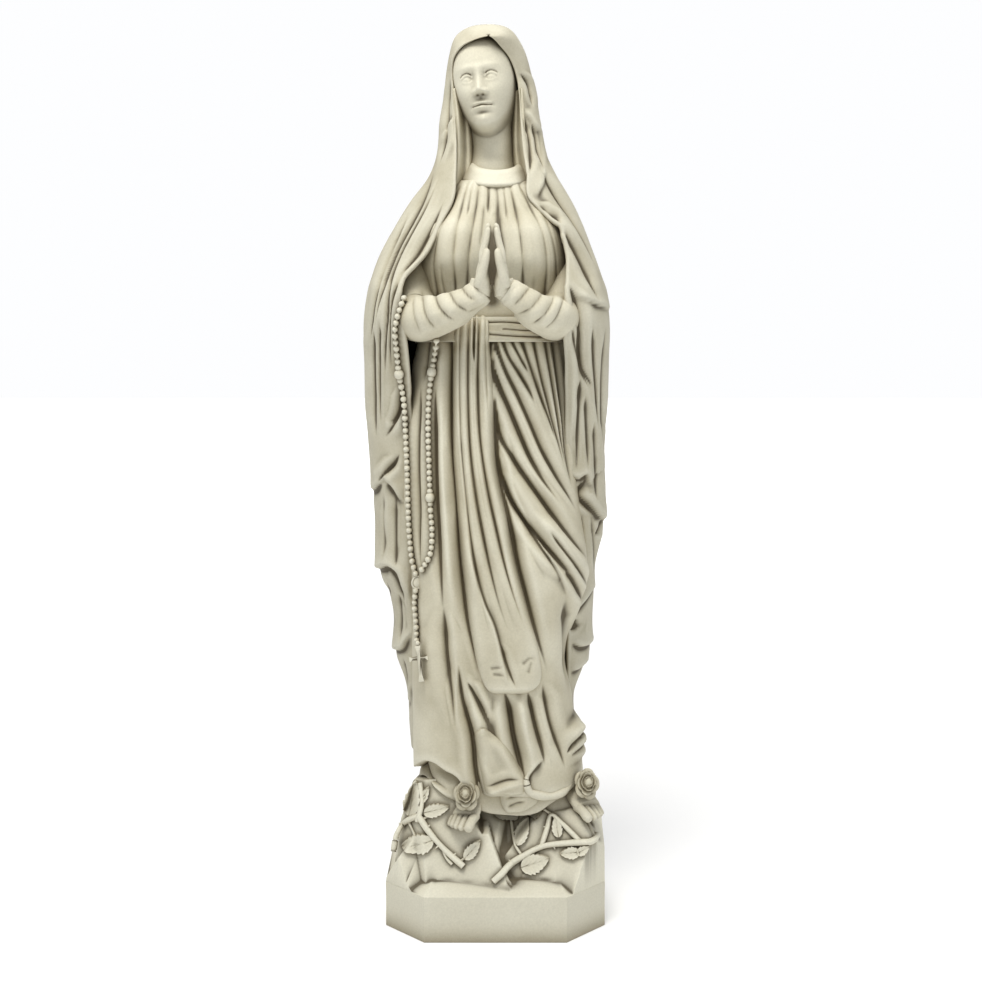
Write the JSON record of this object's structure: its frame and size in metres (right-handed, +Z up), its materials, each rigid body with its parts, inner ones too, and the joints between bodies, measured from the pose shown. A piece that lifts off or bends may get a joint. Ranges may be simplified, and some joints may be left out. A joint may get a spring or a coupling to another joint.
{
  "type": "madonna statue",
  "caption": "Standing praying madonna in veil, cloak and sashed gown with a rosary, on a rocky ground over an octagonal plinth, in cast stone.",
  "frame": {"origin": "centre of the plinth's underside, on the floor", "axes": "+Z up, the figure faces -Y, its left hand is towards +X"},
  "size_m": [0.334, 0.2955, 1.2193],
  "materials": {
    "cast_stone_drapery": "matte cream cast stone with a brown wash rubbed into the folds",
    "cast_stone_smooth": "matte cream cast stone, smooth, with a faint brown wash",
    "cast_stone_rosary": "matte cream cast stone beads with brown wash between them",
    "cast_stone_base": "matte pale cream cast stone with a light wash in the hollows",
    "base_board": "sealed plywood",
    "steel_fittings": "plain zinc-plated steel"
  },
  "bodies": {
    "root": {"base_board": "base_board", "base_screw_1": "steel_fittings", "base_screw_2": "steel_fittings", "base_screw_3": "steel_fittings", "base_screw_4": "steel_fittings", "collar_band": "cast_stone_drapery", "gown_bodice": "cast_stone_drapery", "gown_skirt": "cast_stone_drapery", "head": "cast_stone_smooth", "left_briar": "cast_stone_base", "left_foot": "cast_stone_smooth", "left_hand": "cast_stone_smooth", "left_rose": "cast_stone_drapery", "left_sleeve": "cast_stone_drapery", "left_wrist_dowel": "steel_fittings", "mantle": "cast_stone_drapery", "neck_dowel": "steel_fittings", "plinth": "cast_stone_base", "right_briar": "cast_stone_base", "right_foot": "cast_stone_smooth", "right_hand": "cast_stone_smooth", "right_rose": "cast_stone_drapery", "right_sleeve": "cast_stone_drapery", "right_wrist_dowel": "steel_fittings", "rock_mound": "cast_stone_base", "rosary_centrepiece": "cast_stone_rosary", "rosary_crucifix": "cast_stone_rosary", "rosary_inner_strand": "cast_stone_rosary", "rosary_outer_strand": "cast_stone_rosary", "rosary_pendant": "cast_stone_rosary", "sash_tail": "cast_stone_drapery", "support_tube": "steel_fittings", "tube_flange": "steel_fittings", "waist_sash": "cast_stone_drapery"}
  },
  "joints": []
}
